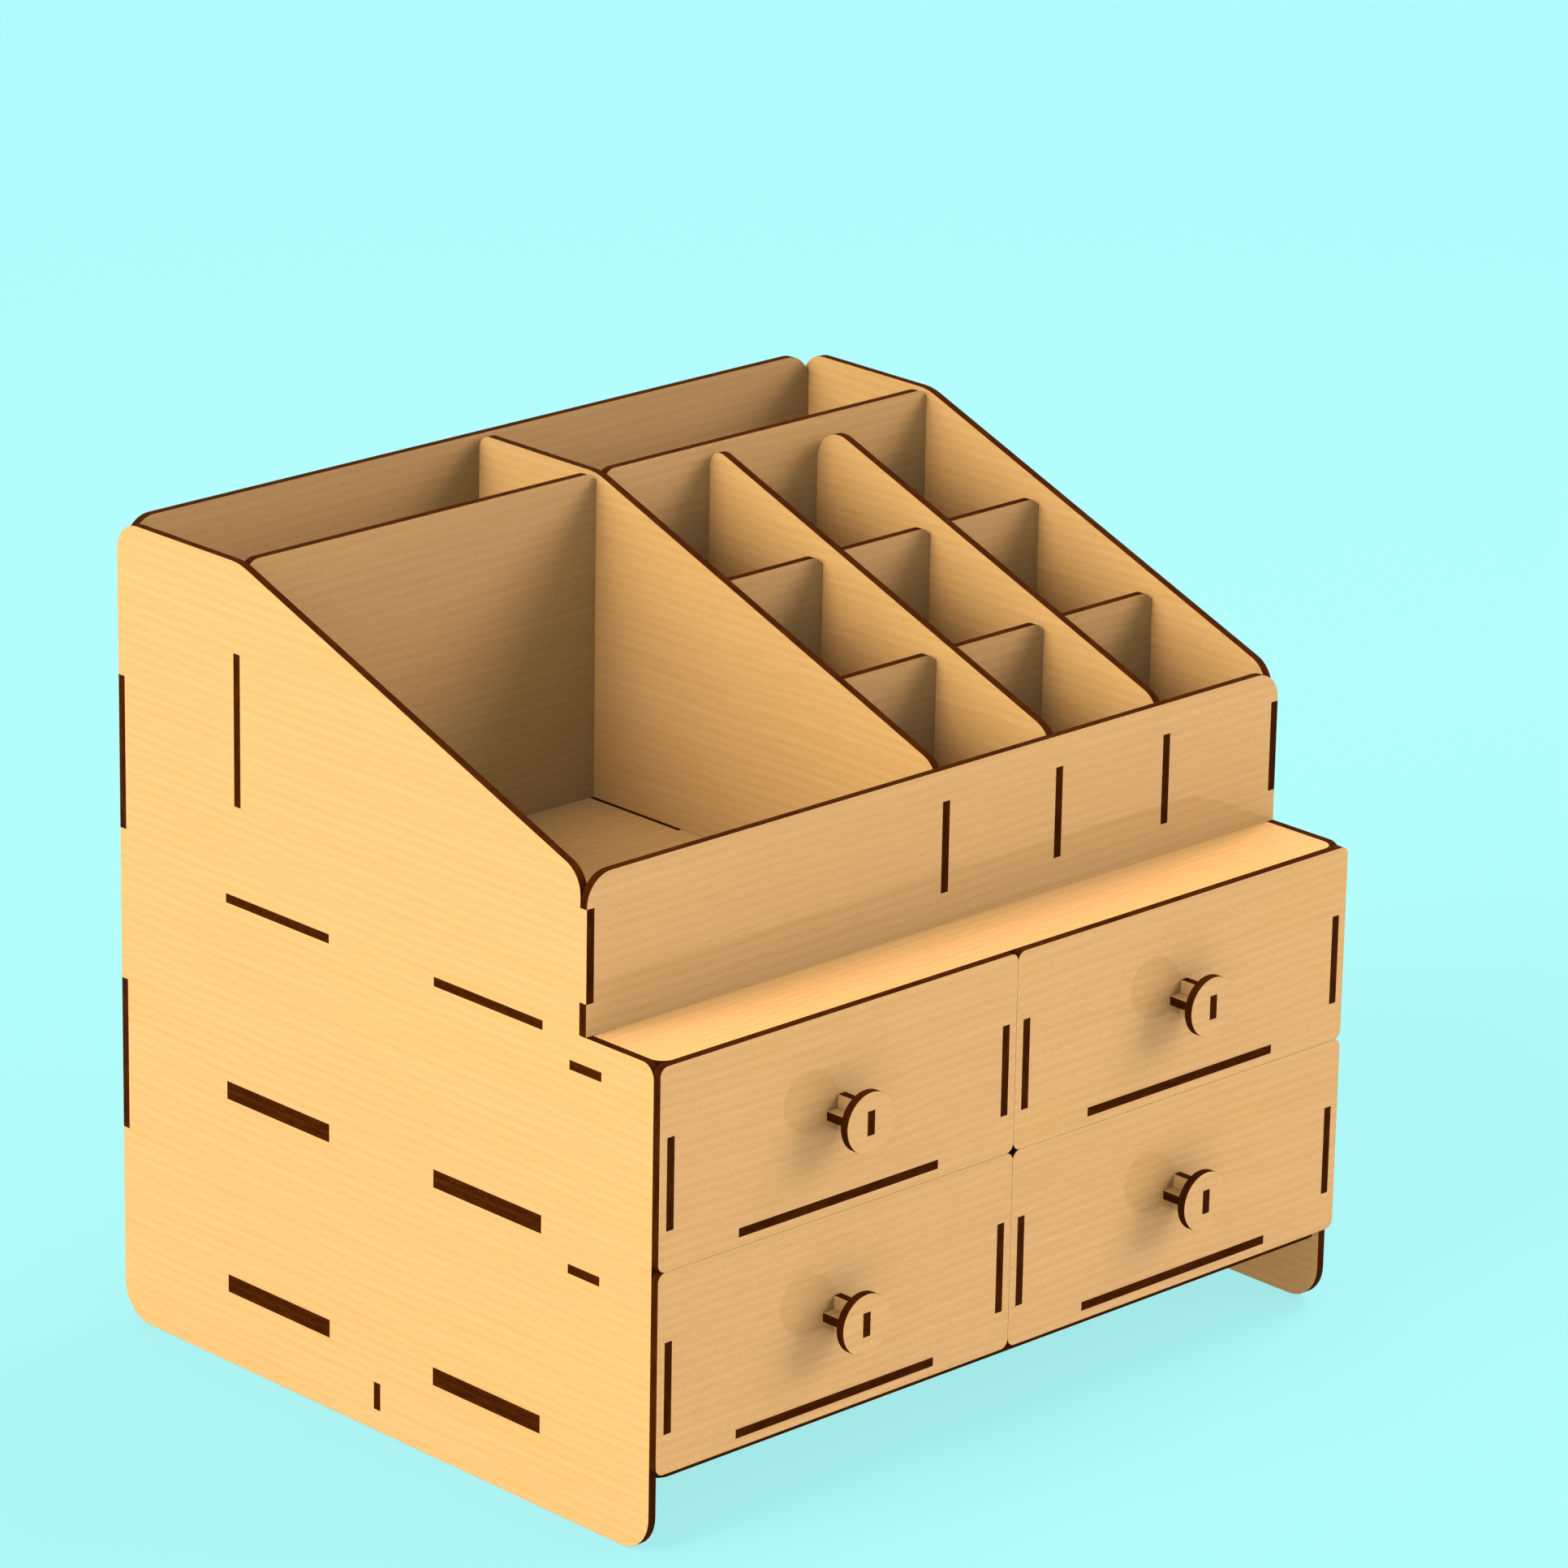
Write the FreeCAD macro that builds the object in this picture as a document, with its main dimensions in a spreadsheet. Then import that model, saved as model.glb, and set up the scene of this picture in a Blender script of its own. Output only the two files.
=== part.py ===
import FreeCAD, Part
import math
import os

import Sketcher

# A desktop organizer cut from 3 mm plywood: a carcass of flat plates held by tabs in slots,
# an open rack on its deck and four drawers under it.
#
# Every plate is drawn where it stands: x runs across from the middle plane, y runs back from
# the outer face of the closed drawer fronts, z runs up from the surface that the feet rest on.
# The model's origin is under the middle of the bounding box, so each body is moved forward by
# half of the distance from the knobs to the back.

# Driving dimensions in millimetres. Each one is a cell of the spreadsheet.
SIZES = {
    "sheet": 3.0,                  # thickness of every plate
    "slot_ease": 0.05,             # clearance round a tab, on each side
    "width": 306.0,                # over the outer faces of the side plates
    "depth": 257.7,                # drawer fronts to the back panel, over both
    "foot_height": 24.8,           # surface to the underside of the bottom shelf
    "storey": 67.3,                # pitch of the drawers
    "rack_height": 112.2,          # deck to the top of the side plates
    "ledge_depth": 33.6,           # ledge in front of the tray front
    "tray_height": 52.1,           # deck to the top of the tray front
    "file_depth": 54.75,           # clear depth between the knee partition and the back panel
    "bay_inner_width": 47.9,       # clear width of the bay beside the middle divider
    "bay_middle_width": 46.5,      # clear width of the next bay
    "cell_front_depth": 52.3,      # clear depth of the cells behind the tray front
    "cell_middle_depth": 50.5,     # clear depth of the next cells
    "cell_drop": 5.4,              # cross dividers end this far under the sloped edges
    "back_overhang": 10.0,         # back panel reaches this far under the bottom shelf
    "knee_tab": 50.95,             # long upright tabs of the rack
    "short_tab": 30.55,            # upright tabs of the tray front, the cells and the drawers
    "shelf_back_tab": 50.0,        # tabs of the deck and the shelves through the back panel
    "shelf_back_tab_place": 75.0,  # middle plane to the middle of each of those tabs
    "rail_width": 23.8,            # keeper rails over the drawers
    "rail_tab": 14.3,
    "rail_setback": 18.75,         # carcass front edge to the rail
    "rail_drop": 6.2,              # underside of the plate above to the rail
    "stretcher_height": 15.2,      # bar that ties the feet
    "stretcher_tab": 9.15,
    "stretcher_clearance": 4.3,    # surface to the bar
    "stretcher_setback": 126.2,    # carcass front edge to the bar
    "seam": 0.1,                   # gap between neighbouring drawer fronts
    "drawer_play": 0.1,            # gap beside and under a drawer box
    "rail_play": 1.05,             # gap between a drawer box and the rail over it
    "drawer_back_gap": 3.7,        # closed drawer box to the back panel
    "drawer_floor_tab": 85.7,
    "drawer_side_foot": 60.0,      # tabs of a drawer floor under the drawer's side plates
    "knob_radius": 10.2,
    "knob_reach": 10.3,            # drawer front to the knob disc
    "knob_web_tall": 12.2,         # upright web of the knob's stem
    "knob_web_wide": 12.4,         # flat web of the knob's stem
    "knob_tab": 8.0,               # tabs of both webs
    "foot_round": 12.5,
    "knee_round": 20.0,            # side and middle plates where the slope meets the top
    "rack_round": 10.0,            # front and back ends of the rack's top edges
    "lip_round": 5.0,              # inner plates, slot lips and the ledge
    "front_round": 3.0,            # corners of the drawer fronts
}

# Planes that several plates share, as expressions of the cells.
SHEET = "Sizes.sheet"
HALF_SHEET = "(Sizes.sheet / 2)"
SIDE_OUT = "(Sizes.width / 2)"
SIDE_IN = "(Sizes.width / 2 - Sizes.sheet)"
CARCASS_FRONT = "Sizes.sheet"
BACK_OUT = "Sizes.depth"
BACK_IN = "(Sizes.depth - Sizes.sheet)"
TRAY_FRONT = "Sizes.ledge_depth"
TRAY_BACK = "(Sizes.ledge_depth + Sizes.sheet)"
KNEE_BACK = "(Sizes.depth - Sizes.sheet - Sizes.file_depth)"
KNEE_FRONT = "(Sizes.depth - 2 * Sizes.sheet - Sizes.file_depth)"
DECK_TOP = "(Sizes.foot_height + 2 * Sizes.storey + Sizes.sheet)"
TRAY_TOP = f"({DECK_TOP} + Sizes.tray_height)"
RACK_TOP = f"({DECK_TOP} + Sizes.rack_height)"
RACK_HALF = f"({DECK_TOP} + Sizes.rack_height / 2)"
MIDDLE_DEPTH = "((Sizes.depth - Sizes.knob_reach - Sizes.sheet) / 2)"
SLOPE = f"((Sizes.rack_height - Sizes.tray_height) / ({KNEE_FRONT} - {TRAY_BACK}))"

# Dividers of the cells: left face of each bay divider, front face of each cross divider.
BAY_PLACES = {
    "inner_bay_divider": f"({HALF_SHEET} + Sizes.bay_inner_width)",
    "outer_bay_divider": f"({HALF_SHEET} + Sizes.bay_inner_width + Sizes.sheet + Sizes.bay_middle_width)",
}
CROSS_PLACES = {
    "front_cross_divider": f"({TRAY_BACK} + Sizes.cell_front_depth)",
    "rear_cross_divider": f"({TRAY_BACK} + Sizes.cell_front_depth + Sizes.sheet + Sizes.cell_middle_depth)",
}

# Undersides of the sheets that lie on the same stack of slots.
SHELVES = {
    "deck": f"({DECK_TOP} - Sizes.sheet)",
    "mid_shelf_upper": "(Sizes.foot_height + Sizes.storey + Sizes.sheet)",
    "mid_shelf_lower": "(Sizes.foot_height + Sizes.storey)",
    "bottom_shelf_upper": "(Sizes.foot_height + Sizes.sheet)",
    "bottom_shelf_lower": "Sizes.foot_height",
}

# Underside of each storey's drawer fronts, one sheet below the shelf that the drawers run on.
STOREYS = {
    "lower": "(Sizes.foot_height + Sizes.sheet)",
    "upper": "(Sizes.foot_height + Sizes.sheet + Sizes.storey)",
}
# Keeper rail over the shelf, and the height of a drawer box under it.
RAIL_LEVEL = "(Sizes.storey - 3 * Sizes.sheet - Sizes.rail_drop)"
DRAWER_WALL = f"({RAIL_LEVEL} - Sizes.rail_play - Sizes.drawer_play)"


def fifth(start, end, number):
    """Return the expression of a point so many fifths of the way from start to end."""
    return f"({start} + ({end} - {start}) * {number} / 5)"


def middle_span(start, end, length):
    """Return both ends of a length that is centred between start and end."""
    return f"(({start} + {end} - {length}) / 2)", f"(({start} + {end} + {length}) / 2)"


def box(left, right, low, high):
    """Return the corners of a rectangle, anticlockwise from its low left one."""
    return [(left, low), (right, low), (right, high), (left, high)]


def slot(left, right, low, high):
    """Return the corners of a slot for a tab, eased on all sides."""
    ease = "Sizes.slot_ease"
    return box(f"{left} - {ease}", f"{right} + {ease}", f"{low} - {ease}", f"{high} + {ease}")


def lap(left, right, low, high):
    """Return the corners of a half-lap slot, eased beside the plate that it takes."""
    return box(f"{left} - Sizes.slot_ease", f"{right} + Sizes.slot_ease", low, high)


class Plate:
    """One flat plate: a body whose sketches lie on one plane, as thick as the sheet."""

    def __init__(self, document, name, plane, start):
        """Make the body; start is the expression of its lower face along the plane's normal."""
        self.document = document
        self.plane = plane
        self.body = document.addObject("PartDesign::Body", name)
        self.body.Label = name
        place = {"x": "0", "y": f"-{MIDDLE_DEPTH}", "z": "0"}
        normal = {"YZ_Plane": "x", "XZ_Plane": "y", "XY_Plane": "z"}[plane]
        place[normal] = f"{place[normal]} + {start}"
        for axis, value in place.items():
            self.body.setExpression(f".Placement.Base.{axis}", value)

    def draw(self, name, outlines):
        """Draw closed outlines of straight lines; every corner is bound to its two expressions."""
        sketch = self.body.newObject("Sketcher::SketchObject", name)
        planes = self.body.Origin.OriginFeatures
        sketch.AttachmentSupport = [(next(item for item in planes if item.Role == self.plane), "")]
        sketch.MapMode = "FlatFace"
        links = []
        places = {}
        for corners in outlines:
            first = sketch.GeometryCount
            count = len(corners)
            ring = [math.tau * step / count for step in range(count)]
            points = [FreeCAD.Vector(math.cos(turn), math.sin(turn), 0) for turn in ring]
            for step in range(count):
                line = Part.LineSegment(points[step], points[(step + 1) % count])
                sketch.addGeometry(line, False)
            for step, (across, along) in enumerate(corners):
                line = first + step
                following = first + (step + 1) % count
                links.append(Sketcher.Constraint("Coincident", line, 2, following, 1))
                links.append(hold("DistanceX", line, points[step].x))
                links.append(hold("DistanceY", line, points[step].y))
                places[f"DistanceX_{line}"] = across
                places[f"DistanceY_{line}"] = along
        sketch.addConstraint(links)
        for link, expression in places.items():
            sketch.setExpression(f"Constraints.{link}", expression)
        return sketch

    def add(self, name, outlines):
        """Pad outlines to the sheet's thickness and return their sketch."""
        sketch = self.draw(f"{name}_sketch", outlines)
        pad = self.body.newObject("PartDesign::Pad", name)
        pad.Profile = sketch
        pad.setExpression("Length", SHEET)
        pad.Reversed = self.plane == "XZ_Plane"
        self.document.recompute()
        return sketch

    def cut(self, name, outlines):
        """Cut outlines through the plate, check that they took wood away, return their sketch."""
        before = self.body.Shape.Volume
        sketch = self.draw(f"{name}_sketch", outlines)
        pocket = self.body.newObject("PartDesign::Pocket", name)
        pocket.Profile = sketch
        pocket.Type = "ThroughAll"
        pocket.SideType = "Symmetric"
        self.document.recompute()
        if not self.body.Shape.Volume < before:
            raise RuntimeError(f"{self.body.Label}: {name} cuts nothing")
        return sketch

    def round(self, name, radius, corners):
        """Round the edges through the given (sketch, corner number) pairs."""
        base = self.body.Tip
        spots = [sketch.Geometry[number].StartPoint for sketch, number in corners]
        names = [f"Edge{edge_at(base.Shape, self.plane, spot)}" for spot in spots]
        fillet = self.body.newObject("PartDesign::Fillet", name)
        fillet.Base = (base, names)
        fillet.setExpression("Radius", radius)
        self.document.recompute()


def hold(kind, line, distance):
    """Return a named constraint that holds a line's start at a distance from the origin."""
    link = Sketcher.Constraint(kind, -1, 1, line, 1, distance)
    link.Name = f"{kind}_{line}"
    return link


def edge_at(shape, plane, spot):
    """Return the number of the edge that runs square to the plane through a sketch point."""
    axes = {"XY_Plane": (0, 1), "XZ_Plane": (0, 2), "YZ_Plane": (1, 2)}[plane]
    for number, edge in enumerate(shape.Edges, start=1):
        ends = [vertex.Point for vertex in edge.Vertexes]
        gaps = [abs(end[axes[0]] - spot.x) + abs(end[axes[1]] - spot.y) for end in ends]
        if len(ends) == 2 and max(gaps) < 1e-4:
            return number
    raise RuntimeError(f"no edge at {spot.x:.2f}, {spot.y:.2f}")


def rack_outline(front_low, back):
    """Return the rack's side outline: its own front, slope, knee, top and back."""
    return [
        (TRAY_BACK, front_low),
        (back, front_low),
        (back, RACK_TOP),
        (KNEE_FRONT, RACK_TOP),
        (TRAY_BACK, TRAY_TOP),
    ]


def shelf_tab_spans():
    """Return the y spans of the two side tabs of the deck, the shelves and the centre plates."""
    return [(fifth(CARCASS_FRONT, BACK_IN, n), fifth(CARCASS_FRONT, BACK_IN, n + 1)) for n in (1, 3)]


def shelf_back_tab_spans():
    """Return the x spans of the tabs of the deck and the shelves through the back panel."""
    half = "Sizes.shelf_back_tab / 2"
    place = "Sizes.shelf_back_tab_place"
    return [(f"({sign}{place} - {half})", f"({sign}{place} + {half})") for sign in ("-", "")]


def back_tab_spans():
    """Return the z spans of the back panel's side tabs."""
    low = "(Sizes.foot_height - Sizes.back_overhang)"
    return [(fifth(low, RACK_TOP, n), fifth(low, RACK_TOP, n + 1)) for n in (1, 3)]


def tray_tab_span():
    """Return the z span of every upright tab through the tray front."""
    return middle_span(DECK_TOP, TRAY_TOP, "Sizes.short_tab")


def knee_tab_span():
    """Return the z span of the long upright tabs at the rack's mid height."""
    return middle_span(DECK_TOP, RACK_TOP, "Sizes.knee_tab")


def cross_top(place):
    """Return the top level of a cross divider whose front face is at place."""
    return f"({TRAY_TOP} + ({place} - {TRAY_BACK}) * {SLOPE} - Sizes.cell_drop)"


def rail_span():
    """Return the y span of a keeper rail."""
    start = f"({CARCASS_FRONT} + Sizes.rail_setback)"
    return start, f"({start} + Sizes.rail_width)"


def rail_low(storey):
    """Return the underside of the keeper rail of a storey."""
    return f"({STOREYS[storey]} + Sizes.sheet + {RAIL_LEVEL})"


def stretcher_tab_span():
    """Return the z span of the foot stretcher's tabs."""
    low = "Sizes.stretcher_clearance"
    return middle_span(low, f"({low} + Sizes.stretcher_height)", "Sizes.stretcher_tab")


def side_plate(document, name, start, extra_slots):
    """Cut a side plate: feet, front edge, ledge step, riser, slope and knee in one outline."""
    plate = Plate(document, name, "YZ_Plane", start)
    outline = plate.add("outline", [[
        (CARCASS_FRONT, "0"),
        (BACK_OUT, "0"),
        (BACK_OUT, RACK_TOP),
        (KNEE_FRONT, RACK_TOP),
        (TRAY_BACK, TRAY_TOP),
        (TRAY_BACK, DECK_TOP),
        (CARCASS_FRONT, DECK_TOP),
    ]])
    plate.add("tray_tab", [box(TRAY_FRONT, TRAY_BACK, *tray_tab_span())])
    slots = [slot(BACK_IN, BACK_OUT, *span) for span in back_tab_spans()]
    slots += [slot(KNEE_FRONT, KNEE_BACK, *knee_tab_span())]
    for front, back in shelf_tab_spans():
        slots.append(slot(front, back, SHELVES["deck"], DECK_TOP))
        for lower, upper in (("mid_shelf_lower", "mid_shelf_upper"),
                             ("bottom_shelf_lower", "bottom_shelf_upper")):
            slots.append(slot(front, back, SHELVES[lower], f"({SHELVES[upper]} + {SHEET})"))
    for storey in STOREYS:
        span = middle_span(*rail_span(), "Sizes.rail_tab")
        slots.append(slot(*span, rail_low(storey), f"({rail_low(storey)} + {SHEET})"))
    bar = f"({CARCASS_FRONT} + Sizes.stretcher_setback)"
    slots.append(slot(bar, f"({bar} + {SHEET})", *stretcher_tab_span()))
    plate.cut("slots", slots + extra_slots)
    plate.round("feet", "Sizes.foot_round", [(outline, 0), (outline, 1)])
    plate.round("knee", "Sizes.knee_round", [(outline, 3)])
    plate.round("rack_ends", "Sizes.rack_round", [(outline, 2), (outline, 4)])
    plate.round("ledge_corner", "Sizes.lip_round", [(outline, 6)])


def cross_tab_slots():
    """Return the slots in the right side plate for the tabs of the cross dividers."""
    slots = []
    for place in CROSS_PLACES.values():
        span = middle_span(DECK_TOP, cross_top(place), "Sizes.short_tab")
        slots.append(slot(place, f"({place} + {SHEET})", *span))
    return slots


def back_panel(document):
    """Cut the back panel with its side tabs and the slots for what reaches through it."""
    plate = Plate(document, "back_panel", "XZ_Plane", BACK_IN)
    low = "(Sizes.foot_height - Sizes.back_overhang)"
    outline = plate.add("outline", [box(f"-{SIDE_IN}", SIDE_IN, low, RACK_TOP)])
    tabs = []
    for span in back_tab_spans():
        tabs.append(box(f"-{SIDE_OUT}", f"-{SIDE_IN}", *span))
        tabs.append(box(SIDE_IN, SIDE_OUT, *span))
    plate.add("side_tabs", tabs)
    slots = [slot(f"-{HALF_SHEET}", HALF_SHEET, *knee_tab_span())]
    for left, right in shelf_back_tab_spans():
        slots.append(slot(left, right, SHELVES["deck"], DECK_TOP))
        for lower, upper in (("mid_shelf_lower", "mid_shelf_upper"),
                             ("bottom_shelf_lower", "bottom_shelf_upper")):
            slots.append(slot(left, right, SHELVES[lower], f"({SHELVES[upper]} + {SHEET})"))
    plate.cut("slots", slots)
    plate.round("top_corners", "Sizes.rack_round", [(outline, 2), (outline, 3)])


def shelf(document, name, slotted):
    """Cut the deck or one sheet of a shelf; a slotted one takes the tabs of centre plates."""
    plate = Plate(document, name, "XY_Plane", SHELVES[name])
    outline = plate.add("outline", [box(f"-{SIDE_IN}", SIDE_IN, CARCASS_FRONT, BACK_IN)])
    tabs = [box(left, right, BACK_IN, BACK_OUT) for left, right in shelf_back_tab_spans()]
    for front, back in shelf_tab_spans():
        tabs.append(box(f"-{SIDE_OUT}", f"-{SIDE_IN}", front, back))
        tabs.append(box(SIDE_IN, SIDE_OUT, front, back))
    plate.add("tabs", tabs)
    if slotted:
        spans = shelf_tab_spans()
        plate.cut("centre_slots", [slot(f"-{SHEET}", SHEET, *span) for span in spans])
    plate.round("front_corners", "Sizes.lip_round", [(outline, 0), (outline, 1)])


def centre_plate(document, name, start, storey):
    """Cut one of the two plates that part the drawers of a storey, with the rail's window."""
    plate = Plate(document, name, "YZ_Plane", start)
    low = f"({STOREYS[storey]} + {SHEET})"
    high = f"({low} + Sizes.storey - 2 * {SHEET})"
    plate.add("outline", [box(CARCASS_FRONT, BACK_IN, low, high)])
    tabs = []
    for span in shelf_tab_spans():
        tabs.append(box(*span, high, f"({high} + {SHEET})"))
        tabs.append(box(*span, f"({low} - {SHEET})", low))
    plate.add("tabs", tabs)
    rail = rail_low(storey)
    plate.cut("rail_window", [slot(*rail_span(), rail, f"({rail} + {SHEET})")])


def keeper_rail(document, storey):
    """Cut the rail that keeps the open drawers of a storey level."""
    plate = Plate(document, f"{storey}_keeper_rail", "XY_Plane", rail_low(storey))
    plate.add("outline", [box(f"-{SIDE_IN}", SIDE_IN, *rail_span())])
    span = middle_span(*rail_span(), "Sizes.rail_tab")
    tabs = [box(f"-{SIDE_OUT}", f"-{SIDE_IN}", *span), box(SIDE_IN, SIDE_OUT, *span)]
    plate.add("tabs", tabs)


def foot_stretcher(document):
    """Cut the bar that ties the side plates between the feet."""
    start = f"({CARCASS_FRONT} + Sizes.stretcher_setback)"
    plate = Plate(document, "foot_stretcher", "XZ_Plane", start)
    low = "Sizes.stretcher_clearance"
    plate.add("outline", [box(f"-{SIDE_IN}", SIDE_IN, low, f"({low} + Sizes.stretcher_height)")])
    span = stretcher_tab_span()
    plate.add("tabs", [box(f"-{SIDE_OUT}", f"-{SIDE_IN}", *span), box(SIDE_IN, SIDE_OUT, *span)])


def tray_front(document):
    """Cut the front of the rack, which laps the side plates and takes the dividers' tabs."""
    plate = Plate(document, "tray_front", "XZ_Plane", TRAY_FRONT)
    outline = plate.add("outline", [box(f"-{SIDE_OUT}", SIDE_OUT, DECK_TOP, TRAY_TOP)])
    span = tray_tab_span()
    slots = [slot(f"-{SIDE_OUT}", f"-{SIDE_IN}", *span), slot(SIDE_IN, SIDE_OUT, *span)]
    for place in (f"-{HALF_SHEET}", *BAY_PLACES.values()):
        slots.append(slot(place, f"({place} + {SHEET})", *span))
    plate.cut("slots", slots)
    plate.round("top_corners", "Sizes.rack_round", [(outline, 2), (outline, 3)])


def middle_divider(document):
    """Cut the divider that stands on the middle of the deck and laps the knee partition."""
    plate = Plate(document, "middle_divider", "YZ_Plane", f"-{HALF_SHEET}")
    outline = plate.add("outline", [rack_outline(DECK_TOP, BACK_IN)])
    tabs = [box(TRAY_FRONT, TRAY_BACK, *tray_tab_span()), box(BACK_IN, BACK_OUT, *knee_tab_span())]
    plate.add("tabs", tabs)
    plate.cut("knee_lap", [lap(KNEE_FRONT, KNEE_BACK, DECK_TOP, RACK_HALF)])
    plate.round("knee", "Sizes.knee_round", [(outline, 3)])
    plate.round("front_end", "Sizes.rack_round", [(outline, 4)])
    plate.round("back_end", "Sizes.lip_round", [(outline, 2)])


def bay_divider(document, name, back_round):
    """Cut a divider between the bays of cells, from the tray front to the knee partition."""
    plate = Plate(document, name, "YZ_Plane", BAY_PLACES[name])
    outline = plate.add("outline", [[
        (TRAY_BACK, DECK_TOP),
        (KNEE_FRONT, DECK_TOP),
        (KNEE_FRONT, RACK_TOP),
        (TRAY_BACK, TRAY_TOP),
    ]])
    tabs = [box(TRAY_FRONT, TRAY_BACK, *tray_tab_span())]
    tabs.append(box(KNEE_FRONT, KNEE_BACK, *knee_tab_span()))
    plate.add("tabs", tabs)
    laps = []
    for place in CROSS_PLACES.values():
        half = f"(({DECK_TOP} + {cross_top(place)}) / 2)"
        laps.append(lap(place, f"({place} + {SHEET})", DECK_TOP, half))
    plate.cut("cross_laps", laps)
    plate.round("front_end", "Sizes.rack_round", [(outline, 3)])
    plate.round("back_end", back_round, [(outline, 2)])


def knee_partition(document):
    """Cut the partition across the rack, slotted from above for the middle divider."""
    plate = Plate(document, "knee_partition", "XZ_Plane", KNEE_FRONT)
    outline = plate.add("outline", [box(f"-{SIDE_IN}", SIDE_IN, DECK_TOP, RACK_TOP)])
    span = knee_tab_span()
    plate.add("tabs", [box(f"-{SIDE_OUT}", f"-{SIDE_IN}", *span), box(SIDE_IN, SIDE_OUT, *span)])
    places = BAY_PLACES.values()
    plate.cut("bay_slots", [slot(place, f"({place} + {SHEET})", *span) for place in places])
    laps = plate.cut("middle_lap", [lap(f"-{HALF_SHEET}", HALF_SHEET, RACK_HALF, RACK_TOP)])
    corners = [(outline, 2), (outline, 3), (laps, 2), (laps, 3)]
    plate.round("top_corners", "Sizes.lip_round", corners)


def cross_divider(document, name):
    """Cut a divider across the cells, slotted from above for the bay dividers."""
    place = CROSS_PLACES[name]
    top = cross_top(place)
    plate = Plate(document, name, "XZ_Plane", place)
    outline = plate.add("outline", [box(HALF_SHEET, SIDE_IN, DECK_TOP, top)])
    span = middle_span(DECK_TOP, top, "Sizes.short_tab")
    plate.add("side_tab", [box(SIDE_IN, SIDE_OUT, *span)])
    half = f"(({DECK_TOP} + {top}) / 2)"
    bays = BAY_PLACES.values()
    laps = plate.cut("laps", [lap(bay, f"({bay} + {SHEET})", half, top) for bay in bays])
    corners = [(outline, 2), (outline, 3)]
    for number in range(len(bays)):
        corners += [(laps, 4 * number + 2), (laps, 4 * number + 3)]
    plate.round("top_corners", "Sizes.lip_round", corners)


def drawer(document, storey, hand):
    """Cut the eight pieces of a drawer; hand is left or right of the middle plane."""
    name = f"{storey}_{hand}_drawer"
    sides = (f"-{SIDE_IN}", f"-{SHEET}") if hand == "left" else (SHEET, SIDE_IN)
    front_low = STOREYS[storey]
    front_high = f"({front_low} + Sizes.storey - Sizes.seam)"
    left = f"({sides[0]} + Sizes.drawer_play)"
    right = f"({sides[1]} - Sizes.drawer_play)"
    low = f"({front_low} + {SHEET} + Sizes.drawer_play)"
    high = f"({low} + {DRAWER_WALL})"
    back = f"({BACK_IN} - Sizes.drawer_back_gap)"
    back_face = f"({back} - {SHEET})"
    wall_tab = middle_span(low, high, "Sizes.short_tab")
    floor_tab = middle_span(left, right, "Sizes.drawer_floor_tab")
    foot = middle_span(CARCASS_FRONT, back_face, "Sizes.drawer_side_foot")

    half = "(Sizes.width / 2 - Sizes.seam / 2)"
    outer = (f"-{SIDE_OUT}", f"({half} - {SIDE_OUT})") if hand == "left" else (
        f"({SIDE_OUT} - {half})", SIDE_OUT)
    centre = f"(({outer[0]} + {outer[1]}) / 2)"
    knob_level = f"(({front_low} + {front_high}) / 2)"
    web = middle_span(knob_level, knob_level, "Sizes.knob_tab")
    flat = middle_span(centre, centre, "Sizes.knob_tab")

    front = Plate(document, f"{name}_front", "XZ_Plane", "0")
    outline = front.add("outline", [box(*outer, front_low, front_high)])
    front.cut("slots", [
        slot(left, f"({left} + {SHEET})", *wall_tab),
        slot(f"({right} - {SHEET})", right, *wall_tab),
        slot(*floor_tab, low, f"({low} + {SHEET})"),
    ])
    front.cut("upright_web_slot", [
        slot(f"({centre} - {HALF_SHEET})", f"({centre} + {HALF_SHEET})", *web)])
    front.cut("flat_web_slot", [
        slot(*flat, f"({knob_level} - {HALF_SHEET})", f"({knob_level} + {HALF_SHEET})")])
    front.round("corners", "Sizes.front_round", [(outline, number) for number in range(4)])

    for side, start in (("left", left), ("right", f"({right} - {SHEET})")):
        wall = Plate(document, f"{name}_{side}_side", "YZ_Plane", start)
        wall.add("outline", [box(CARCASS_FRONT, back_face, low, high)])
        wall.add("tabs", [box("0", CARCASS_FRONT, *wall_tab), box(back_face, back, *wall_tab)])
        wall.cut("floor_notch", [slot(*foot, low, f"({low} + {SHEET})")])

    rear = Plate(document, f"{name}_back", "XZ_Plane", back_face)
    rear.add("outline", [box(left, right, low, high)])
    rear.cut("notches", [
        slot(left, f"({left} + {SHEET})", *wall_tab),
        slot(f"({right} - {SHEET})", right, *wall_tab),
        slot(*floor_tab, low, f"({low} + {SHEET})"),
    ])

    floor = Plate(document, f"{name}_floor", "XY_Plane", low)
    inner_left = f"({left} + {SHEET})"
    inner_right = f"({right} - {SHEET})"
    floor.add("outline", [box(inner_left, inner_right, CARCASS_FRONT, back_face)])
    floor.add("tabs", [
        box(*floor_tab, "0", CARCASS_FRONT),
        box(*floor_tab, back_face, back),
        box(left, inner_left, *foot),
        box(inner_right, right, *foot),
    ])
    knob(document, name, centre, knob_level)


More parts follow.
